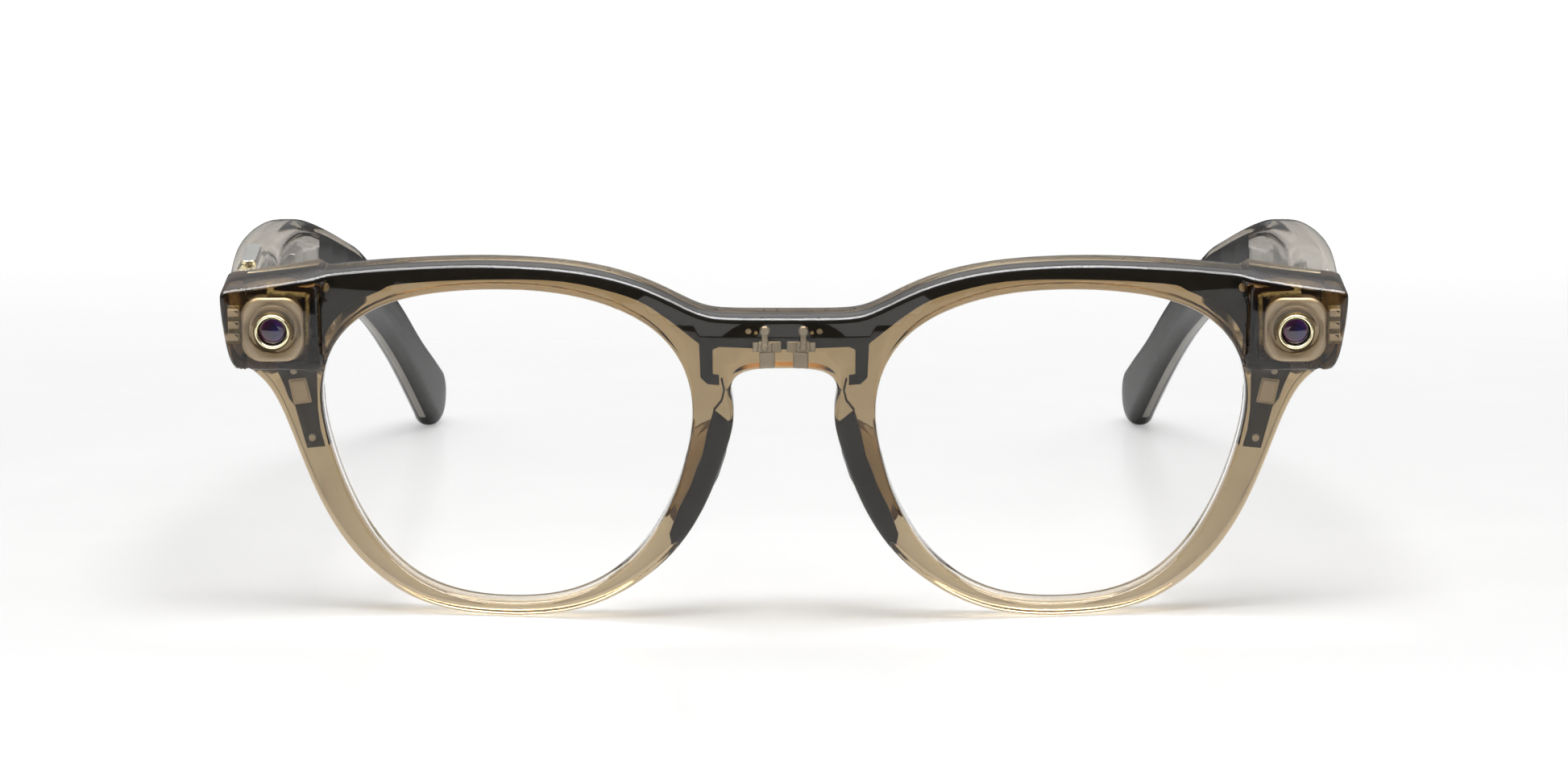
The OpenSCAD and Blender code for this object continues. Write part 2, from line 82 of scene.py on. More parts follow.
# ------------------------------------------------------- the design outlines
OUTER = [
    (0, 41.7), (4, 41.7), (8, 41.7), (10.5, 42), (13, 43.1), (17.5, 45.4), (23, 47.1), (29, 47.9),
    (35, 48.1), (41, 48), (48, 47.4), (55, 46.6), (62, 45.4), (68, 44.4), (72.8, 43.8), (74.1, 43.6),
    (74.2, 42.5), (74, 39.5), (73.5, 36), (72.9, 33.6), (71.6, 32.6), (69.9, 31.4), (68.3, 29.9),
    (66.8, 27.3), (65.4, 23.7), (63.8, 19.3), (61.8, 14.4), (59.2, 9.8), (56, 6), (52, 2.9), (47.5, 0.9),
    (42.5, 0.1), (37, 0), (31.5, 0.3), (26, 1.5), (21, 4), (16.5, 7.4), (12.8, 11.6), (10, 16.9),
    (8.2, 21.8), (6.8, 26.5), (6.6, 29), (7.2, 31.5), (6.9, 33.5), (5.2, 34.7), (2.5, 35), (0, 35)]
APERTURE = [
    (11.9, 29), (12.9, 34.7), (16.3, 39.7), (22.3, 43), (29.5, 44.6), (36.8, 44.8), (44, 44.2), (51, 42.7),
    (56.6, 39.7), (60.1, 35.2), (61.3, 29.4), (60.4, 23.3), (58, 15.9), (54.3, 9.2), (49.2, 4.3),
    (43, 2.2), (36.5, 1.9), (30, 2.5), (24.2, 4.8), (19.2, 9.1), (15.5, 15.1), (13, 22)]
FLEX_LOW = [
    (11.6, 38.4), (16.2, 42), (20.4, 44.2), (28.8, 46), (39.5, 45.9), (50.2, 44.8), (53, 43.7), (56.4, 41.9),
    (58.8, 39.8), (60.5, 37.3), (61.3, 35), (61.6, 33.4)]
FLEX_POD = [
    (63, 33.4), (62.6, 34.9), (62.4, 37.2), (62.6, 41.5), (62.3, 42.1), (61.6, 42.8), (62.1, 43.6),
    (62.1, 44.6)]
BOARD_LOOP = [
    (60.9, 21.7), (63.3, 21.3), (64.8, 27), (65.6, 28), (66.2, 29.7), (67.3, 32.3), (67.2, 33.1),
    (63.2, 33.8), (62.6, 36.9), (61.1, 36.6), (61.7, 33), (61.8, 30), (61.8, 27), (61.5, 24)]
BLADE = [
    (9.2, 28.9), (7.1, 27), (7.6, 22.8), (8.7, 19.4), (10.3, 16.1), (12.2, 13.3), (13.9, 10.9), (14.9, 10.2),
    (15.1, 11.7), (13.9, 15), (12.3, 18.3), (10.7, 22.8), (10, 26.1)]
FLEX_TAB = [
    (8.5, 37.6), (9.3, 37.2), (9.3, 33.9), (8.5, 33.8), (8.5, 32.4), (10, 32.5), (10.9, 33.4), (11.1, 38.0)]
LEAD = [(8.2, 33.2), (7.9, 31.6), (8.2, 30.2), (9.2, 28.9)]
PAD_LOOP = [
    (7.7, 25), (8.1, 21.4), (9.4, 17.4), (11.2, 13.6), (13.4, 11.8), (15.2, 13), (14.8, 16), (13, 20),
    (11.6, 24.4), (9.4, 26.6)]
# Side view of a temple. Near the tip its top edge stands up to 1 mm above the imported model's.
TOP = [
    (11.9, 45), (25, 47), (40, 47.5), (55, 46.6), (71.5, 43.7), (91, 39.2), (106, 34.8), (129, 24.2),
    (144, 16.1), (152, 12.1)]
BOTTOM = [
    (11.9, 33.5), (25, 32.4), (45, 32.4), (60, 33), (75, 32.6), (90, 30.4), (105, 26.6), (120, 20.8),
    (131, 15), (139, 10.1), (147, 4.7), (151.5, 1.6)]
OUTSIDE = [
    (11.9, 74.2), (30, 74.8), (50, 74), (70, 72.3), (90, 70), (110, 67.3), (130, 64.2), (164, 58.6)]
THICK = [(11.9, 6.3), (40, 6.1), (65, 5.5), (90, 4.8), (120, 4.3), (164, 4.1)]
TIP = (155.0, 5.0)
TIP_R = 5.0
CORE_START = 109.5              # mm, depth where the tip's dark core begins


def cubic(a, b, c, d, t):
    k = (a * (1 - t) ** 3, b * (3 * t ** 3 - 6 * t * t + 4),
         c * (-3 * t ** 3 + 3 * t * t + 3 * t + 1), d * t ** 3)
    return sum(k[1:], k[0]) / 6


def catmull(a, b, c, d, t):
    square = (2 * a - 5 * b + 4 * c - d) * t * t
    cube = (3 * b - a - 3 * c + d) * t ** 3
    return 0.5 * (2 * b + (c - a) * t + square + cube)


def loop(points, n):
    p = [Vector(q) for q in points]
    m = len(p)
    return [cubic(p[i - 1], p[i], p[(i + 1) % m], p[(i + 2) % m], j / n) for i in range(m) for j in range(n)]


def line(points, n):
    p = [Vector(q) for q in points]
    m = len(p)
    out = [catmull(p[max(i - 1, 0)], p[i], p[i + 1], p[min(i + 2, m - 1)], j / n)
           for i in range(m - 1) for j in range(n)]
    return out + [p[-1]]


def area(p):
    return 0.5 * sum(p[i - 1].x * p[i].y - p[i].x * p[i - 1].y for i in range(len(p)))


def anticlockwise(p):
    return p if area(p) > 0 else p[::-1]


def offset(p, d):
    """A closed anticlockwise loop moved outwards by d, along the bisector at each point."""
    out = []
    for i in range(len(p)):
        a = (p[i] - p[i - 1]).normalized()
        b = (p[(i + 1) % len(p)] - p[i]).normalized()
        n = Vector((a.y + b.y, -a.x - b.x))
        n = n / max(n.length_squared / 2, 0.35)
        out.append(p[i] + n * d)
    return out


def mirrored(p):
    return [Vector((-q.x, q.y)) for q in p]


OUTLINE = anticlockwise(offset(anticlockwise(loop(OUTER + [(-x, y) for x, y in OUTER[-2:0:-1]], 4)), 0.1))
OPENING = anticlockwise(offset(anticlockwise(loop(APERTURE, 6)), 0.25))


def inside(p, q):
    hit = False
    for i in range(len(p)):
        a, b = p[i - 1], p[i]
        if (a.y > q.y) != (b.y > q.y) and q.x < (b.x - a.x) * (q.y - a.y) / (b.y - a.y) + a.x:
            hit = not hit
    return hit


def circle(x, y, r, n=32):
    turns = [2 * math.pi * i / n for i in range(n)]
    return [Vector((x + r * math.cos(t), y + r * math.sin(t))) for t in turns]


def rounded(x, y, w, h, r, turn=0.0, n=8):
    """A rectangle with rounded corners, turned about its middle."""
    out = []
    for k, (sx, sy) in enumerate([(1, 1), (-1, 1), (-1, -1), (1, -1)]):
        for j in range(n + 1):
            t = math.radians(90 * k + 90 * j / n)
            out.append(Vector((sx * (w / 2 - r) + r * math.cos(t), sy * (h / 2 - r) + r * math.sin(t))))
    m = Matrix.Rotation(math.radians(turn), 2)
    return [m @ q + Vector((x, y)) for q in out]


# ------------------------------------------------------------ mesh building
def to_object(name, bm, material, angle=40):
    mesh = bpy.data.meshes.new(name)
    bmesh.ops.recalc_face_normals(bm, faces=bm.faces)
    bm.to_mesh(mesh)
    bm.free()
    obj = bpy.data.objects.new(name, mesh)
    bpy.context.scene.collection.objects.link(obj)
    mesh.materials.append(material)
    mesh.shade_smooth()
    if angle:
        mesh.set_sharp_from_angle(angle=math.radians(angle))
    return obj


def fill_points(outer, holes, step, extra):
    """A grid of inner points that keeps clear of the outline."""
    lo = Vector((min(q.x for q in outer), min(q.y for q in outer)))
    hi = Vector((max(q.x for q in outer), max(q.y for q in outer)))
    edge = [q for l in [outer] + holes for q in l]
    buckets = {}
    for q in edge:
        buckets.setdefault((int(q.x // step), int(q.y // step)), []).append(q)
    out = []
    grid = [Vector((lo.x + step * (i + 0.5 * (j % 2)), lo.y + step * j))
            for j in range(int((hi.y - lo.y) / step) + 1) for i in range(int((hi.x - lo.x) / step) + 1)]
    around = [(a, b) for a in (-1, 0, 1) for b in (-1, 0, 1)]
    for q in extra + grid:
        i, j = int(q.x // step), int(q.y // step)
        near = [e for a, b in around for e in buckets.get((i + a, j + b), [])]
        gap = 0.2 * step if q in extra else 0.55 * step
        if any((e - q).length < gap for e in near):
            continue
        if inside(outer, q) and not any(inside(h, q) for h in holes):
            out.append(q)
    return out


def cap(bm, rings, points, surface):
    """Fills between rings with triangles. A ring is (2-D points, vertices), and the first is outside."""
    flat, verts, edges = [], [], []
    for pts, vs in rings:
        n = len(flat)
        flat += pts
        verts += vs
        edges += [(n + i, n + (i + 1) % len(pts)) for i in range(len(pts))]
    for q in points:
        flat.append(q)
        verts.append(bm.verts.new(surface(q)))
    co, _, tri, orig, _, _ = geometry.delaunay_2d_cdt([Vector(q) for q in flat], edges, [], 0, 1e-6)
    made = {}

    def vert(i):
        if orig[i]:
            return verts[orig[i][0]]
        if i not in made:
            made[i] = bm.verts.new(surface(co[i]))
        return made[i]

    outer = rings[0][0]
    for t in tri:
        c = (co[t[0]] + co[t[1]] + co[t[2]]) / 3
        if inside(outer, c) and not any(inside(h[0], c) for h in rings[1:]):
            vs = [vert(i) for i in t]
            if len(set(vs)) == 3:
                try:
                    bm.faces.new(vs)
                except ValueError:
                    pass


def slab(name, outer, holes, front, back, place, material, edge=0.3, edge_back=None, hole_edge=None,
         turns=4, step=2.0, extra=(), angle=40, bm=None):
    """A plate between two surfaces with rounded edges.

    front and back give a depth for a 2-D point. place turns (x, depth, y) into the row frame.
    """
    edge_back = edge if edge_back is None else edge_back
    hole_edge = edge if hole_edge is None else hole_edge
    own = bm is None
    bm = bmesh.new() if own else bm
    outer = anticlockwise(outer)
    holes = [anticlockwise(h) for h in holes]
    ends = {0: [], 1: []}
    for k, l in enumerate([outer] + holes):
        sign = -1 if k == 0 else 1
        r0 = edge if k == 0 else min(hole_edge, edge)
        r1 = edge_back if k == 0 else min(hole_edge, edge_back)
        bends = [math.pi / 2 * j / turns for j in range(turns + 1)]
        steps = [(t, r0, front, 1) for t in bends] + [(t, r1, back, -1) for t in bends[::-1]]
        rings = []
        for t, r, surface, way in steps:
            pts = offset(l, sign * r * (1 - math.sin(t)))
            sink = way * r * (1 - math.cos(t))
            rings.append((pts, [bm.verts.new(place(q.x, surface(q) + sink, q.y)) for q in pts]))
        for (_, a), (_, b) in zip(rings, rings[1:]):
            for i in range(len(a)):
                bm.faces.new((a[i - 1], a[i], b[i], b[i - 1]))
        ends[0].append(rings[0])
        ends[1].append(rings[-1])
    for k, surface in ((0, front), (1, back)):
        rings = ends[k]
        points = fill_points(rings[0][0], [h for h, _ in rings[1:]], step, [Vector(q) for q in extra])
        cap(bm, rings, points, lambda q: place(q.x, surface(q), q.y))
    return to_object(name, bm, material, angle) if own else None


def lathe(name, rings, centre, place, material, n=96, angle=35, bm=None, close=True):
    """Rounded squares or circles joined one to the next.

    A ring is (half width, half height, corner radius, depth).
    """
    own = bm is None
    bm = bmesh.new() if own else bm
    last = None
    first = None
    for w, h, r, d in rings:
        vs = []
        for i in range(n):
            q = squircle(w, h, r, 2 * math.pi * i / n)
            vs.append(bm.verts.new(place(centre[0] + q.x, d, centre[1] + q.y)))
        if last:
            for i in range(n):
                bm.faces.new((last[i - 1], last[i], vs[i], vs[i - 1]))
        first = first or vs
        last = vs
    if close:
        bm.faces.new(first)
        bm.faces.new(last)
    return to_object(name, bm, material, angle) if own else None


def squircle(w, h, r, t):
    """The point at angle t on a rectangle 2w by 2h with corner radius r."""
    c, s = math.cos(t), math.sin(t)
    if r >= min(w, h) - 1e-6:
        return Vector((w * c, h * s))
    for d, lim in ((c, w), (s, h)):
        if abs(d) > 1e-9:
            k = lim / abs(d)
            q = Vector((k * c, k * s))
            if (d is c and abs(q.y) <= h - r) or (d is s and abs(q.x) <= w - r):
                return q
    cx, cy = math.copysign(w - r, c), math.copysign(h - r, s)
    b = c * cx + s * cy
    k = b + math.sqrt(max(b * b - (cx * cx + cy * cy - r * r), 0))
    return Vector((k * c, k * s))


def rounds(pairs):
    """Circular rings for a lathe from pairs of radius and depth."""
    return [(r, r, r, d) for r, d in pairs]


def flat(depth):
    return lambda q: depth


def behind(gap):
    """A surface that follows the front's wrap at a distance behind it."""
    return lambda q: wrap(q.x) + gap


# ---------------------------------------------------------------- materials
def nodes(name):
    m = bpy.data.materials.new(name)
    m.use_nodes = True
    t = m.node_tree
    return m, t, t.nodes["Principled BSDF"]


def add(t, kind, **values):
    n = t.nodes.new(kind)
    for k, v in values.items():
        if k in n.inputs:
            n.inputs[k].default_value = v
        else:
            setattr(n, k, v)
    return n


def coords(t, scale=(1, 1, 1)):
    g = add(t, "ShaderNodeTexCoord")
    m = add(t, "ShaderNodeMapping")
    m.inputs["Scale"].default_value = scale
    t.links.new(g.outputs["Object"], m.inputs["Vector"])
    return m.outputs["Vector"]


def noise(t, vector, scale, detail=4, rough=0.55):
    n = add(t, "ShaderNodeTexNoise", Scale=scale, Detail=detail, Roughness=rough)
    t.links.new(vector, n.inputs["Vector"])
    return n.outputs["Fac"]


def ramp(t, fac, stops):
    r = add(t, "ShaderNodeValToRGB")
    e = r.color_ramp.elements
    while len(e) < len(stops):
        e.new(0.5)
    for k, (p, c) in enumerate(stops):
        e[k].position = p
        e[k].color = (*c, 1)
    t.links.new(fac, r.inputs["Fac"])
    return r.outputs["Color"]


def spread(t, fac, low, high):
    r = add(t, "ShaderNodeMapRange")
    r.inputs["From Min"].default_value = 0.3
    r.inputs["From Max"].default_value = 0.7
    r.inputs["To Min"].default_value = low
    r.inputs["To Max"].default_value = high
    t.links.new(fac, r.inputs["Value"])
    return r.outputs["Result"]


def bump(t, height, shader, strength, distance):
    b = add(t, "ShaderNodeBump", Strength=strength, Distance=distance)
    t.links.new(height, b.inputs["Height"])
    t.links.new(b.outputs["Normal"], shader.inputs["Normal"])


def finish(name, dark, light, metallic, rough, scale=900, grain=0.15, depth=2e-5, stretch=(1, 1, 1),
           coat=0.0, spec=0.5):
    """An opaque finish: two tones mixed by a slow noise, roughness and fine grain from a quick one."""
    m, t, s = nodes(name)
    v = coords(t, stretch)
    slow = noise(t, v, scale * 0.12)
    fine = noise(t, v, scale * 4, 6)
    t.links.new(ramp(t, slow, [(0.3, dark), (0.7, light)]), s.inputs["Base Color"])
    t.links.new(spread(t, fine, rough * 0.8, min(rough * 1.25, 1)), s.inputs["Roughness"])
    s.inputs["Metallic"].default_value = metallic
    s.inputs["Coat Weight"].default_value = coat
    s.inputs["Coat Roughness"].default_value = 0.05
    s.inputs["Specular IOR Level"].default_value = spec
    bump(t, fine, s, grain, depth)
    return m


def clear(name, tint, absorb, density, rough, ior=1.49, grain=0.03):
    """Transparent plastic: colour comes from the depth the light passes through."""
    m, t, s = nodes(name)
    v = coords(t)
    s.inputs["Base Color"].default_value = (*tint, 1)
    s.inputs["Transmission Weight"].default_value = 1
    s.inputs["IOR"].default_value = ior
    t.links.new(spread(t, noise(t, v, 700, 5), rough * 0.5, rough * 1.6), s.inputs["Roughness"])
    bump(t, noise(t, v, 260, 3), s, grain, 4e-5)
    if density:
        a = add(t, "ShaderNodeVolumeAbsorption", Density=density)
        a.inputs["Color"].default_value = (*absorb, 1)
        out = t.nodes["Material Output"]
        t.links.new(a.outputs["Volume"], out.inputs["Volume"])
    return m


PLASTIC = clear("translucent_sand", (0.97, 0.95, 0.92), (0.507, 0.36, 0.07), 365, 0.008, grain=0.004)
SHELL = clear("translucent_shell", (0.97, 0.96, 0.95), (0.507, 0.42, 0.28), 150, 0.03, 1.3, 0.005)
FROSTED = clear("frosted_cover", (0.9, 0.87, 0.82), (0.507, 0.35, 0.05), 300, 0.4)
PAD = clear("nose_pad_rubber", (0.93, 0.9, 0.84), (0.507, 0.37, 0.1), 220, 0.16, 1.42, 0.1)
LENS = clear("clear_lens", (1, 1, 1), (1, 1, 1), 0, 0.004, 1.02, 0.0)
FILM = finish("black_film", (0.0025, 0.0025, 0.0025), (0.005, 0.005, 0.005), 0, 0.5, 1500, 0.25, 1e-5,
              spec=0.25)
BOARD = finish("dark_board", (0.006, 0.005, 0.004), (0.014, 0.012, 0.0095), 0, 0.4, 1800, 0.3, 1e-5,
               coat=0.1)
PANEL = finish("dark_panel", (0.006, 0.0057, 0.0055), (0.012, 0.0115, 0.011), 0, 0.3, 600, 0.1, 1e-5,
               spec=0.15)
BLACK = finish("black_plastic", (0.006, 0.006, 0.006), (0.014, 0.014, 0.014), 0, 0.35, 1200, 0.3)
CHAMPAGNE = finish("champagne_metal", (0.44, 0.39, 0.33), (0.52, 0.47, 0.40), 0.9, 0.36, 1400, 0.35, 1e-5)
PALE = finish("pale_metal", (0.50, 0.47, 0.42), (0.62, 0.59, 0.54), 0.85, 0.33, 900, 0.3, 1e-5, (1, 6, 1))
GOLD = finish("gold_plate", (0.70, 0.62, 0.38), (0.86, 0.80, 0.58), 1, 0.24, 1500, 0.4, 1e-5)
STEEL = finish("brushed_steel", (0.42, 0.41, 0.39), (0.58, 0.57, 0.54), 1, 0.3, 900, 0.5, 1e-5, (1, 1, 12))
SATIN = finish("satin_plate", (0.22, 0.22, 0.21), (0.28, 0.28, 0.27), 0.35, 0.4, 900, 0.2, 1e-5)
CLIP = finish("clip_metal", (0.27, 0.24, 0.20), (0.36, 0.33, 0.28), 0.8, 0.34, 900, 0.3, 1e-5, (1, 6, 1))
BLOCK = finish("tan_block", (0.40, 0.34, 0.25), (0.50, 0.43, 0.33), 0.2, 0.5, 900, 0.3, 1e-5)
SPEAKER = finish("grey_housing", (0.34, 0.34, 0.34), (0.46, 0.46, 0.46), 0.1, 0.4, 900, 0.3)
CIRCUIT = finish("solder_mask", (0.035, 0.04, 0.038), (0.07, 0.075, 0.07), 0, 0.38, 2600, 0.6, 2e-5, coat=0.3)
FOIL = finish("battery_foil", (0.30, 0.30, 0.31), (0.42, 0.42, 0.43), 0.6, 0.34, 300, 0.5, 5e-5)
SEAL = finish("grey_seal", (0.23, 0.22, 0.20), (0.31, 0.30, 0.27), 0, 0.5, 900, 0.3)
SPECKLE = finish("speckled_gasket", (0.10, 0.08, 0.035), (0.42, 0.35, 0.17), 0.4, 0.6, 14000, 0.9, 6e-5)


GLASS_HALF, GLASS_RIM = 0.0016, 0.0019      # m, how far the painted reflection colours reach from the glass's middle


def glass_painted_reflection():
    """Dark glass with its coating's reflections painted into the base colour: wine red on one side, blue on
    the other, a magenta ring near the rim.
    """
    m, t, s = nodes("glass_painted_reflection")
    g = add(t, "ShaderNodeTexCoord")
    xyz = add(t, "ShaderNodeSeparateXYZ")
    t.links.new(g.outputs["Object"], xyz.inputs["Vector"])
    sides = add(t, "ShaderNodeMapRange")
    sides.inputs["From Min"].default_value = -GLASS_HALF
    sides.inputs["From Max"].default_value = GLASS_HALF
    t.links.new(xyz.outputs["X"], sides.inputs["Value"])
    # Painted reflection: the coating's reflected wine red and blue, laid across the glass by position.
    painted_reflection_tints = [(0, (0.03, 0.003, 0.01)), (0.45, (0.012, 0.002, 0.016)), (0.75, (0.012, 0.01, 0.075)),
             (1, (0.004, 0.002, 0.015))]
    side_painted_reflection = ramp(t, sides.outputs["Result"], painted_reflection_tints)
    far = add(t, "ShaderNodeVectorMath", operation="LENGTH")
    t.links.new(g.outputs["Object"], far.inputs[0])
    out = add(t, "ShaderNodeMapRange")
    out.inputs["From Max"].default_value = GLASS_RIM
    t.links.new(far.outputs["Value"], out.inputs["Value"])
    # Painted reflection: a faint blue middle and a magenta ring near the rim.
    rim_painted_reflection = [(0, (0.01, 0.01, 0.05)), (0.55, (0, 0, 0)), (0.78, (0.04, 0.0, 0.035)), (0.93, (0, 0, 0))]
    rim = ramp(t, out.outputs["Result"], rim_painted_reflection)
    both = add(t, "ShaderNodeMix", data_type="RGBA", blend_type="ADD")
    both.inputs["Factor"].default_value = 1
    t.links.new(side_painted_reflection, both.inputs["A"])
    t.links.new(rim, both.inputs["B"])
    t.links.new(both.outputs[2], s.inputs["Base Color"])
    s.inputs["Roughness"].default_value = 0.05
    s.inputs["Coat Weight"].default_value = 1
    s.inputs["Coat Roughness"].default_value = 0.01
    return m


# Dark camera glass with painted coating reflections.
GLASS_WITH_PAINTED_REFLECTION = glass_painted_reflection()


# ------------------------------------------------------------------- pieces
def stands_for(obj, body, slot, *names):
    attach(obj, body)
    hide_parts(*names)
    return obj


def refined(node, body, slot, material, bevel=0.12, turns=3):
    """A CAD piece's own shape with its edges rounded over."""
    bm = bmesh.new()
    bm.from_mesh(frame["nodes"][node].data)
    bmesh.ops.remove_doubles(bm, verts=bm.verts, dist=1e-6)
    bmesh.ops.dissolve_limit(bm, angle_limit=math.radians(1), verts=bm.verts, edges=bm.edges)
    obj = to_object(node + "_finished", bm, material, 35)
    mod = obj.modifiers.new("edges", "BEVEL")
    mod.width = bevel * MM
    mod.segments = turns
    mod.limit_method = "ANGLE"
    mod.angle_limit = math.radians(40)
    mod.harden_normals = True
    return stands_for(obj, body, slot, node)


def pod(q):
    """1 inside a corner pod, 0 outside, with a soft step between."""
    return smooth(-0.35, 0.35, abs(q.x) - POD_X) * smooth(-0.35, 0.35, q.y - POD_V)


def front_face(q):
    return mix(wrap(q.x), POD_Y, pod(q))


def back_face(q):
    corner = (BUTT + q.y * math.sin(LEAN)) / math.cos(LEAN)
    return mix(RIM + q.y * WEDGE + wrap(q.x) * (WRAP - RIM) / WRAP, corner, pod(q))


def pod_step():
    """Points along the pods' inner and lower edges, close enough to carry the step."""
    out = []
    for d in (-0.5, -0.25, 0, 0.25, 0.5):
        out += [(s * (POD_X + d), POD_V + d + 0.4 * k) for s in (-1, 1) for k in range(32)]
        out += [(s * (POD_X + d + 0.4 * k), POD_V + d) for s in (-1, 1) for k in range(32)]
    return out


EYE_R = 2.42                    # mm, the holes for the camera barrels


def make_front():
    eyes = [circle(s * CAM[0], CAM[1], EYE_R, 48) for s in (-1, 1)]
    holes = [OPENING, mirrored(OPENING)] + eyes
    body = slab("front_body", OUTLINE, holes, front_face, back_face, leaned, PLASTIC, edge=0.75,
                edge_back=0.8, hole_edge=0.45, step=1.6, extra=pod_step(), angle=60)
    stands_for(body, "front", "translucent", "front_frame")
    for s, side in ((1, "left"), (-1, "right")):
        edge = OPENING if s > 0 else mirrored(OPENING)
        shape = offset(anticlockwise(edge), -0.05)
        lens = slab("lens_%s_clear" % side, shape, [], behind(1.5), behind(3.4), leaned, LENS, edge=0.15,
                    step=4)
        stands_for(lens, "front", "lens", "lens_" + side)


def top_run(inset):
    """The front's top edge from the middle to the pod, moved inwards."""
    run = [q for q in offset(OUTLINE, -inset) if 0 <= q.x <= 61.8 and q.y > 37]
    return sorted(run, key=lambda q: q.x)


def whole_front(half):
    """Closes a half outline with its mirror image."""
    return half + [Vector((-q.x, q.y)) for q in half[::-1] if q.x > 1e-4]


FLEX_HOLES = ((4.65, 39.7, 0.4), (3.65, 39.5, 0.25), (60.4, 43.7, 0.62))    # x, y, radius in mm
LEAD_HALF = 0.11                # mm, half the width of the lead to each nose blade


def add_lead(s, bm):
    """The thin strip that runs from the flex down to a nose blade."""
    for a, b in zip(LEAD, LEAD[1:]):
        p, q = Vector(a), Vector(b)
        n = Vector((q - p).orthogonal()).normalized() * LEAD_HALF
        shape = [Vector((s * v.x, v.y)) for v in (p + n, q + n, q - n, p - n)]
        slab("", shape, [], behind(2.1), flat(3.3), leaned, FILM, edge=0.05, turns=1, step=1, bm=bm)


def make_flex():
    low = [Vector(q) for q in [(0, 37.3)] + FLEX_TAB] + line(FLEX_LOW, 4) + [Vector(q) for q in FLEX_POD]
    sheet = whole_front(low + top_run(0.4)[::-1])
    holes = [circle(s * x, y, r) for s in (-1, 1) for x, y, r in FLEX_HOLES]
    fine = {"edge": 0.08, "turns": 2, "step": 2.5}
    bm = bmesh.new()
    slab("", sheet, holes, behind(1.8), behind(2.1), leaned, FILM, bm=bm, **fine)
    fold = top_run(0.75) + top_run(0.4)[::-1]
    for s in (-1, 1):
        lip = [Vector((s * q.x, q.y)) for q in fold]
        slab("", lip, [], behind(1.9), behind(3.3), leaned, FILM, bm=bm, **fine)
        add_lead(s, bm)
    stands_for(to_object("brow_flex", bm, FILM, 35), "front", "black_film", "front_flex")
    half = [Vector((0, 37.3))] + line(FLEX_LOW, 4)[:-3] + top_run(1.15)[::-1]
    cover = slab("brow_cover", whole_front(half), [], lambda q: back_face(q) - 1.0,
                 lambda q: back_face(q) + 0.03, leaned, FROSTED, edge=0.1, turns=2, step=2.5)
    stands_for(cover, "front", "translucent", "rear_cover")


BOARD_SCREWS = ((64.9, 32.0), (62.6, 22.8))
CAN, CAN_TURN = (64.1, 29.2), -12       # middle in mm and turn in degrees


def make_leg(s, side):
    """The board down the outer rim, with its can and its two screw holes."""
    shape = [Vector((s * x, y)) for x, y in BOARD_LOOP]
    holes = [circle(s * x, v, 0.5, 20) for x, v in BOARD_SCREWS]
    board = slab("rim_board_%s_film" % side, shape, holes, behind(2.2), behind(2.6), leaned, BOARD,
                 edge=0.08, turns=2, step=1.5)
    stands_for(board, "front", "black_film", "rim_board_" + side)
    can = bmesh.new()
    wall = rounded(s * CAN[0], CAN[1], 2.5, 3.5, 0.25, CAN_TURN * s)
    slab("", wall, [], behind(1.95), behind(2.2), leaned, PALE, edge=0.06, turns=2, step=1, bm=can)
    lid = rounded(s * CAN[0], CAN[1], 2.0, 3.0, 0.2, CAN_TURN * s)
    slab("", lid, [], behind(1.65), behind(1.98), leaned, PALE, edge=0.1, turns=3, step=1, bm=can)
    stands_for(to_object("rim_can_" + side, can, CHAMPAGNE, 35), "front", "champagne", "rim_shield_" + side)


def screw_head(bm, x, v, depth, r):
    rings = rounds(((r, depth + 0.45), (r, depth + 0.12), (r * 0.92, depth + 0.03), (r * 0.62, depth),
                    (r * 0.5, depth + 0.02), (r * 0.45, depth + 0.2)))
    lathe("", rings, (x, v), leaned, STEEL, 24, bm=bm)


def make_screws():
    bm = bmesh.new()
    places = ((4.65, 39.7, 0.36), *((x, v, 0.46) for x, v in BOARD_SCREWS))
    for s in (-1, 1):
        for x, v, r in places:
            screw_head(bm, s * x, v, wrap(x) + 1.7, r)
    stands_for(to_object("front_screws_heads", bm, PALE, 35), "front", "steel", "front_screws")


BEZEL_W, BEZEL_H = 4.15, 4.4            # mm, half sizes of the camera's bezel
GLASS_R, GLASS_Y, DOME = 1.78, 6.75, 0.45


def dish_rings():
    """The bezel from its back edge over the rim and down the stepped dish to the barrel."""
    w, h = BEZEL_W, BEZEL_H
    sides = [(w - 0.35, h - 0.35, 2.3, 11.5), (w - 0.1, h - 0.1, 2.5, 9.6), (w, h, 2.6, 8.1),
             (w - 0.02, h - 0.02, 2.6, 7.75), (w - 0.12, h - 0.12, 2.6, 7.55),
             (w - 0.3, h - 0.3, 2.6, 7.45)]
    rim = [(3.75, 3.9, 2.8, 7.44), (3.66, 3.75, 3.2, 7.5), (3.52, 3.55, 3.5, 7.62)]
    return sides + rim + rounds((
        (3.4, 7.68), (3.32, 7.56), (3.26, 7.54), (3.2, 7.6), (3.18, 7.85), (2.95, 7.88), (2.93, 7.74),
        (2.86, 7.7), (2.8, 7.76), (2.78, 8.0), (2.5, 8.1), (2.45, 9.5)))


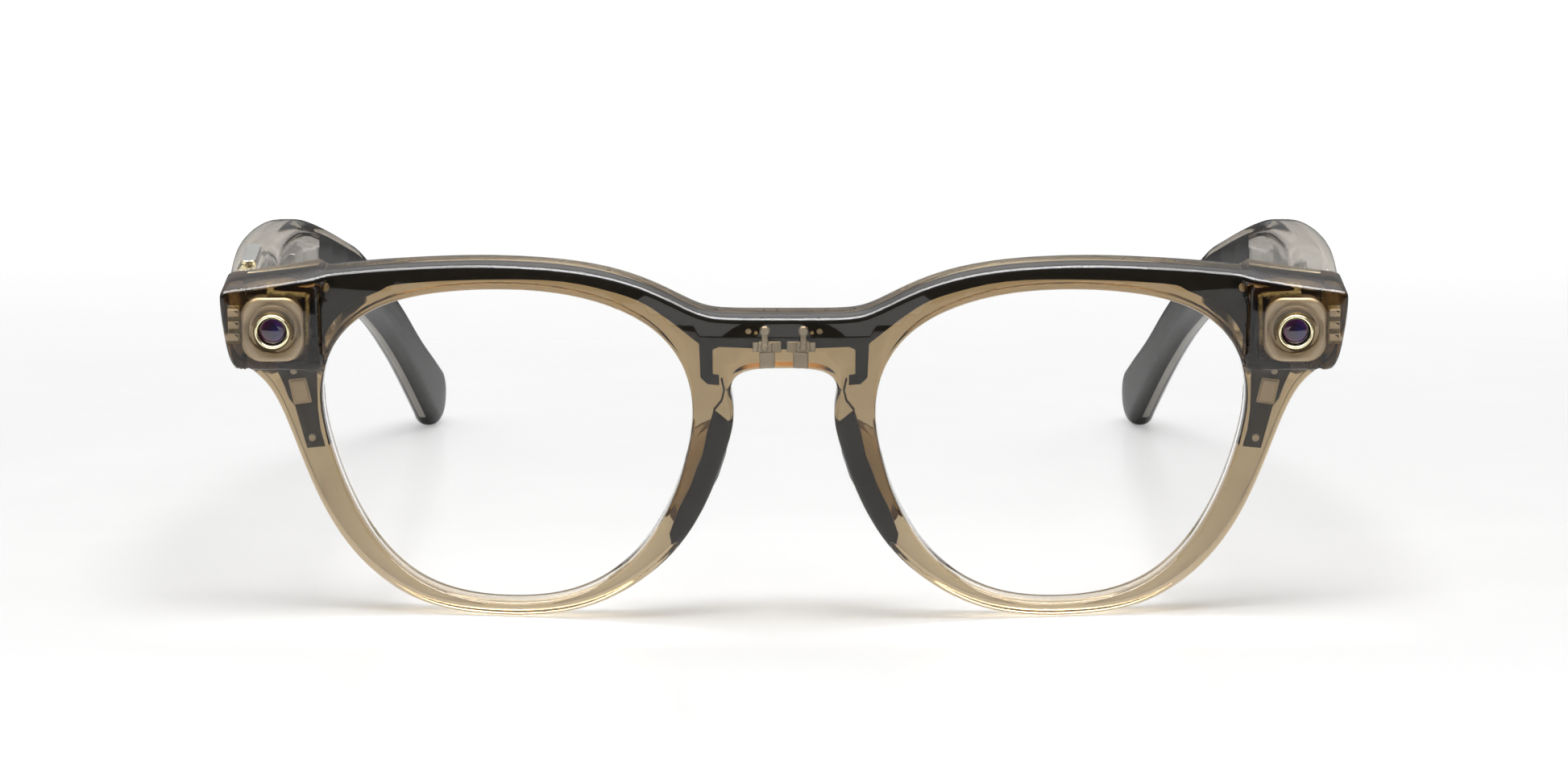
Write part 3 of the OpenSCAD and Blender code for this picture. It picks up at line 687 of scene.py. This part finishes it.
def make_gasket(s, side):
    """The speckled gasket round the bezel and the tan blocks of the contact pocket."""
    gasket = bmesh.new()
    for x, v, w, h in ((62.9, 39.5, 0.5, 6.8), (65.5, 43.0, 5.2, 0.45)):
        slab("", rounded(s * x, v, w, h, 0.25, 3 * s), [], flat(7.9), flat(9.4), leaned, SPECKLE,
             edge=0.15, turns=2, step=1, bm=gasket)
    fine = {"edge": 0.12, "turns": 2, "step": 1}
    slab("", rounded(s * 72.5, 38.9, 1.5, 5.2, 0.15), [], flat(8.1), flat(8.6), leaned, SPECKLE,
         bm=gasket, **fine)
    speckled = to_object("pod_gasket_" + side, gasket, SPECKLE, 35)
    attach(speckled, "front")
    blocks = bmesh.new()
    for v in (37.3, 38.95, 40.6):
        slab("", rounded(s * 72.55, v, 1.4, 1.0, 0.1), [], flat(7.4), flat(8.2), leaned, BLOCK,
             bm=blocks, **fine)
    stands_for(to_object("pod_blocks_" + side, blocks, BLOCK, 35), "front", "gold", "pod_contacts_" + side)


def make_camera(s, side):
    c = (s * CAM[0], CAM[1])
    bezel = lathe("camera_bezel_%s_dish" % side, dish_rings(), c, leaned, CHAMPAGNE)
    stands_for(bezel, "front", "champagne", "camera_bezel_" + side)
    ring = rounds(((2.35, 11.5), (2.35, 6.15), (2.31, 6.02), (2.22, 5.94), (2.12, 5.92), (2.0, 5.98),
                   (1.93, 6.1), (1.88, 6.3), (1.86, 6.9), (1.84, 7.6)))
    barrel = lathe("camera_barrel_%s_ring" % side, ring, c, leaned, GOLD)
    stands_for(barrel, "front", "gold", "camera_barrel_" + side)
    centre = leaned(c[0], 6.9, c[1])
    slopes = (0.15, 0.3, 0.5, 0.7, 0.9, 1.1, 1.3, 1.45, 1.54)
    dome = [(GLASS_R * math.cos(t), GLASS_Y - DOME * math.sin(t)) for t in slopes]
    wall = [(1.84, 7.4), (1.84, 6.82), (1.8, GLASS_Y)]
    glass = lathe("camera_lens_" + side, rounds(wall + dome), c, leaned, GLASS_WITH_PAINTED_REFLECTION, 64, 0)
    glass.data.transform(Matrix.Translation(-centre))
    glass.location = centre
    stands_for(glass, "front", "camera_glass", "camera_glass_" + side)
    refined("camera_sensor_" + side, "front", "black_plastic", BLACK, 0.25)
    make_gasket(s, side)


# Each plate of a charging contact: middle x and v, width, height, corner, front and back depth in mm.
CLIP_PLATES = (
    (2.2, 36.0, 2.0, 2.1, 0.12, 0.95, 4.5), (1.85, 37.75, 3.0, 1.5, 0.25, 1.2, 1.5),
    (2.5, 37.7, 1.9, 1.3, 0.2, 1.05, 1.4), (3.75, 37.75, 0.75, 1.25, 0.15, 0.9, 1.5),
    (2.52, 38.9, 0.85, 1.9, 0.3, 1.0, 1.4))


def make_contact(s, side):
    """A charging contact: pad under the bridge, bracket, neck and round boss."""
    bm = bmesh.new()
    for x, v, w, h, r, y0, y1 in CLIP_PLATES:
        slab("", rounded(s * x, v, w, h, r), [], flat(y0), flat(y1), leaned, CLIP, edge=0.12, turns=3,
             step=1, bm=bm)
    for r, v, a in ((0.52, 37.65, 0.92), (0.72, 39.85, 0.95)):
        rings = rounds(((r, a + 0.6), (r, a + 0.2), (r * 0.9, a + 0.06), (r * 0.75, a), (r * 0.55, a + 0.02)))
        lathe("", rings, (s * 2.52, v), leaned, PALE, 28, bm=bm)
    clip_piece = to_object("charging_clip_" + side, bm, CLIP, 35)
    stands_for(clip_piece, "front", "champagne", "charging_contact_" + side)


def make_nose(s, side):
    shape = [Vector((s * x, y)) for x, y in BLADE]
    insert = slab("nose_blade_" + side, shape, [], behind(2.3), flat(3.5), leaned, PANEL, edge=0.15,
                  turns=2, step=1.2)
    stands_for(insert, "front", "black_film", "nose_insert_" + side)
    shape = [Vector((s * q.x, q.y)) for q in loop(PAD_LOOP, 6)]

    def crown(q):
        return 12.3 - 0.08 * (q.x * s - 11) ** 2 - 0.02 * (q.y - 19) ** 2

    soft = slab("nose_pad_%s_soft" % side, shape, [], flat(5.6), crown, leaned, PAD, edge=0.4,
                edge_back=1.6, turns=6, step=1)
    stands_for(soft, "front", "nose_rubber", "nose_pad_" + side)


# ------------------------------------------------------------------ temples
PLAN = line(OUTSIDE, 16)
DEPTHS = line(THICK, 16)


def look(table, d):
    for a, b in zip(table, table[1:]):
        if d <= b.x:
            return mix(a.y, b.y, (d - a.x) / (b.x - a.x))
    return table[-1].y


def tip_arc(r):
    """The round end of a temple, from its top to its underside."""
    turns = [math.radians(a) for a in range(56, -115, -10)]
    return [Vector((TIP[0] + r * math.cos(t), TIP[1] + r * math.sin(t))) for t in turns]


TEMPLE = anticlockwise(line(TOP, 5) + tip_arc(TIP_R) + line(BOTTOM, 5)[::-1])


def core_outline():
    """The dark core of a temple's tip, a little inside the shell."""
    d = 0.5
    into = Vector((0.45, 0.9))
    top = [q - into * d for q in line(TOP, 5) if q.x > CORE_START]
    low = [q + into * d for q in line(BOTTOM, 5) if q.x > CORE_START]
    return anticlockwise(top + tip_arc(TIP_R - d) + low[::-1])


def on_temple(s):
    """Turns (depth behind the front, depth in from the outer face, height) into the row frame."""
    return lambda d, a, z: upright(s * (look(PLAN, d) - a), d, z)


def whole(q):
    return look(DEPTHS, q.x)


def clip(p, low, high):
    """The part of a loop between two depths."""
    out = []
    for i in range(len(p)):
        a, b = p[i - 1], p[i]
        for lim in (low, high):
            if (a.x - lim) * (b.x - lim) < 0:
                t = (lim - a.x) / (b.x - a.x)
                out.append((t, Vector((lim, mix(a.y, b.y, t))), i))
        if low <= b.x <= high:
            out.append((1, b, i))
    out.sort(key=lambda e: (e[2], e[0]))
    return [e[1] for e in out]


def make_temple(s, side):
    body = "temple_" + side
    place = on_temple(s)
    shell = slab("temple_%s_shell" % side, TEMPLE, [], flat(0), whole, place, SHELL, edge=2.0,
                 edge_back=1.9, turns=7, step=2.5, angle=70)
    hollow = clip(offset(TEMPLE, -1.7), 14, 108)
    room = slab("room", hollow, [], flat(1.2), lambda q: whole(q) - 1.2, place, SHELL, edge=0.8,
                turns=4, step=2.5, angle=70)
    room.data.flip_normals()
    join(shell, room)
    stands_for(shell, body, "translucent", "temple_shell_" + side, "temple_cover_" + side)
    bm = bmesh.new()
    slab("", clip(offset(TEMPLE, -1.6), 68, 109), [], lambda q: whole(q) - 1.1, lambda q: whole(q) - 0.6,
         place, PANEL, edge=0.15, turns=3, step=2, bm=bm)
    slab("", core_outline(), [], flat(0.7), lambda q: whole(q) - 0.45, place, PANEL, edge=1.3, turns=5,
         step=2, bm=bm)
    panel = to_object("tip_panel_" + side, bm, PANEL, 35)
    stands_for(panel, body, "black_film", "tip_insert_" + side)
    under = [q for q in line(BOTTOM, 5) if 84 <= q.x]
    strip = [q + Vector((0.25, 0.35)) for q in under] + [q + Vector((0.9, 1.6)) for q in under[::-1]]
    seal = slab("seal_strip_" + side, strip, [], flat(1.3), flat(2.3), place, SEAL, edge=0.15, turns=2,
                step=2)
    stands_for(seal, body, "grey_seal", "temple_seal_" + side)
    refined("temple_hinge_" + side, body, "steel", STEEL)
    refined("speaker_" + side, body, "black_plastic", SPEAKER, 0.4)
    refined("speaker_grille_" + side, body, "black_plastic", BLACK, 0.1)
    refined("battery_" + side, body, "battery_foil", FOIL, 0.6)
    refined("temple_microphone_" + side, body, "gold", GOLD, 0.15)
    refined("hinge_plate_" + side, "front", "steel", STEEL)
    refined("hinge_pin_" + side, "front", "steel", STEEL, 0.08)


BAND = 0.0014                   # m, length of the gold band at each end of the button


def make_button():
    """The capture button: a satin pill with a gold band at each end."""
    body = refined("capture_button", "capture_button", "steel", SATIN, 0.15)
    body.data.materials.append(GOLD)
    ys = [v.co.y for v in body.data.vertices]
    low, high = min(ys), max(ys)
    for f in body.data.polygons:
        y = sum((body.data.vertices[i].co for i in f.vertices), Vector()).y / len(f.vertices)
        if min(y - low, high - y) < BAND:
            f.material_index = 1


def join(a, b):
    bm = bmesh.new()
    bm.from_mesh(a.data)
    bm.from_mesh(b.data)
    bm.to_mesh(a.data)
    bm.free()
    bpy.data.objects.remove(b)


# ---------------------------------------------------------------- the scene
FLOOR_TONE = 0.93
FLOOR_HALF = 500                # mm
FLOOR_NEAR, FLOOR_FAR = -99, 420
FADE_START, FADE_END = 60, 400  # mm behind the datum, where the floor fades to nothing
CAM_LENS = 113.4                # mm, on a 36 mm sensor
CAM_TILT = math.radians(9.28)
CAM_REACH = 0.65                # m, from the aim to the camera
CAM_AIM_Z = 0.0307
SKY_POWER = 1.0
BACKDROP = 1.05


def make_camera_view():
    cam = bpy.data.objects.new("camera", bpy.data.cameras.new("camera"))
    bpy.context.scene.collection.objects.link(cam)
    cam.data.lens = CAM_LENS
    cam.data.sensor_width = 36
    cam.data.clip_start = 0.01
    aim = Vector((0, FRONT_Y * MM, CAM_AIM_Z))
    cam.location = aim + CAM_REACH * Vector((0, -math.cos(CAM_TILT), math.sin(CAM_TILT)))
    cam.rotation_euler = (math.pi / 2 - CAM_TILT, 0, 0)
    bpy.context.scene.camera = cam


def ground(x0, x1, y0, y1):
    """A rectangle at ground level, in mm."""
    bm = bmesh.new()
    corners = ((x0, y0), (x1, y0), (x1, y1), (x0, y1))
    bm.faces.new([bm.verts.new(upright(x, y, 0)) for x, y in corners])
    return bm


def make_floor():
    """A pale glossy floor that ends just in front of the view and fades out behind the glasses."""
    bm = ground(-FLOOR_HALF, FLOOR_HALF, FLOOR_NEAR, FLOOR_FAR)
    m, t, s = nodes("pale_floor")
    v = coords(t)
    tones = [(0.3, (FLOOR_TONE - 0.004,) * 3), (0.7, (FLOOR_TONE,) * 3)]
    t.links.new(ramp(t, noise(t, v, 9, 2), tones), s.inputs["Base Color"])
    t.links.new(spread(t, noise(t, v, 30, 3), 0.16, 0.2), s.inputs["Roughness"])
    s.inputs["IOR"].default_value = 1.6
    xyz = add(t, "ShaderNodeSeparateXYZ")
    t.links.new(v, xyz.inputs["Vector"])
    fade = add(t, "ShaderNodeMapRange")
    fade.inputs["From Min"].default_value = (FADE_START + FRONT_Y) * MM
    fade.inputs["From Max"].default_value = (FADE_END + FRONT_Y) * MM
    fade.inputs["To Min"].default_value = 1
    fade.inputs["To Max"].default_value = 0
    t.links.new(xyz.outputs["Y"], fade.inputs["Value"])
    t.links.new(fade.outputs["Result"], s.inputs["Alpha"])
    floor = to_object("floor", bm, m, 0)


def area_light(name, place, aim, size, power):
    light = bpy.data.lights.new(name, "AREA")
    light.shape = "RECTANGLE"
    light.size, light.size_y = size
    light.energy = power
    obj = bpy.data.objects.new(name, light)
    bpy.context.scene.collection.objects.link(obj)
    obj.location = place
    obj.rotation_euler = (Vector(aim) - Vector(place)).to_track_quat("-Z", "Y").to_euler()
    return obj


def dial(t, value, low, high, start=0.0, end=1.0):
    """A smooth change from start to end as the value goes from low to high."""
    r = add(t, "ShaderNodeMapRange", interpolation_type="SMOOTHSTEP")
    for name, v in (("From Min", low), ("From Max", high), ("To Min", start), ("To Max", end)):
        r.inputs[name].default_value = v
    t.links.new(value, r.inputs["Value"])
    return r.outputs["Result"]


def combine(t, kind, a, b):
    n = add(t, "ShaderNodeMath", operation=kind)
    t.links.new(a, n.inputs[0])
    t.links.new(b, n.inputs[1])
    return n.outputs["Value"]


def sky():
    """A white backdrop. Reflections see light behind and above, and dark at the camera's side and below."""
    world = bpy.data.worlds.new("studio")
    bpy.context.scene.world = world
    world.use_nodes = True
    t = world.node_tree
    g = add(t, "ShaderNodeTexCoord")
    xyz = add(t, "ShaderNodeSeparateXYZ")
    t.links.new(g.outputs["Generated"], xyz.inputs["Vector"])
    y, z = xyz.outputs["Y"], xyz.outputs["Z"]
    back_half = combine(t, "MULTIPLY", dial(t, y, -0.25, 0.15), dial(t, z, -0.02, 0.03))
    above = dial(t, z, 0.5, 0.8)
    shape = combine(t, "MAXIMUM", combine(t, "MULTIPLY", back_half, dial(t, z, 0.3, 0.6, 0.3, 1.0)), above)
    path = add(t, "ShaderNodeLightPath")
    seen = combine(t, "MAXIMUM", path.outputs["Is Camera Ray"], path.outputs["Is Transmission Ray"])
    power = combine(t, "MAXIMUM", dial(t, shape, 0, 1, 0.1, SKY_POWER), dial(t, seen, 0, 1, 0, BACKDROP))
    back = t.nodes["Background"]
    back.inputs["Color"].default_value = (1, 1, 1, 1)
    t.links.new(power, back.inputs["Strength"])


def card(name, x0, x1, y0, y1, power):
    """A lit card on the ground in front of the view, seen only in reflections."""
    bm = ground(x0, x1, y0, y1)
    m = bpy.data.materials.new(name)
    m.use_nodes = True
    s = m.node_tree.nodes["Principled BSDF"]
    s.inputs["Base Color"].default_value = (0, 0, 0, 1)
    s.inputs["Emission Color"].default_value = (1, 1, 1, 1)
    s.inputs["Emission Strength"].default_value = power
    obj = to_object(name, bm, m, 0)
    obj.visible_camera = obj.visible_diffuse = False
    obj.visible_transmission = obj.visible_shadow = False


def make_light():
    sky()
    area_light("key", (0.05, -0.25, 0.9), (0, -0.02, 0), (0.7, 0.35), 6.0)
    area_light("side", (-0.9, -0.5, 0.45), (0, -0.05, 0.03), (0.3, 0.6), 1.6)
    glow = area_light("overhead", (0, -0.1, 0.8), (0, -0.08, 0), (1.6, 0.8), 37)
    glow.visible_diffuse = False
    card("card_middle", -7, 7, -260, -104, 1.4)
    card("card_left", 16, 40, -260, -104, 1.4)
    card("card_right", -40, -16, -260, -104, 1.4)
    bpy.context.scene.view_settings.view_transform = "Standard"


make_camera_view()
make_front()
make_flex()
make_screws()
for s, side in ((1, "left"), (-1, "right")):
    make_leg(s, side)
    make_camera(s, side)
    make_contact(s, side)
    make_nose(s, side)
    make_temple(s, side)
refined("nose_microphones", "front", "gold", GOLD, 0.12)
refined("main_board", "temple_right", "circuit_board", CIRCUIT, 0.1)
refined("board_shields", "temple_right", "steel", STEEL, 0.15)
refined("touch_sensor", "temple_right", "black_film", FILM, 0.05)
refined("button_switch", "temple_right", "steel", STEEL, 0.1)
refined("wireless_antenna", "temple_right", "gold", GOLD, 0.04)
refined("switch_board", "temple_left", "circuit_board", CIRCUIT, 0.1)
make_button()
refined("power_switch", "power_switch", "black_plastic", BLACK, 0.15)
make_floor()
make_light()
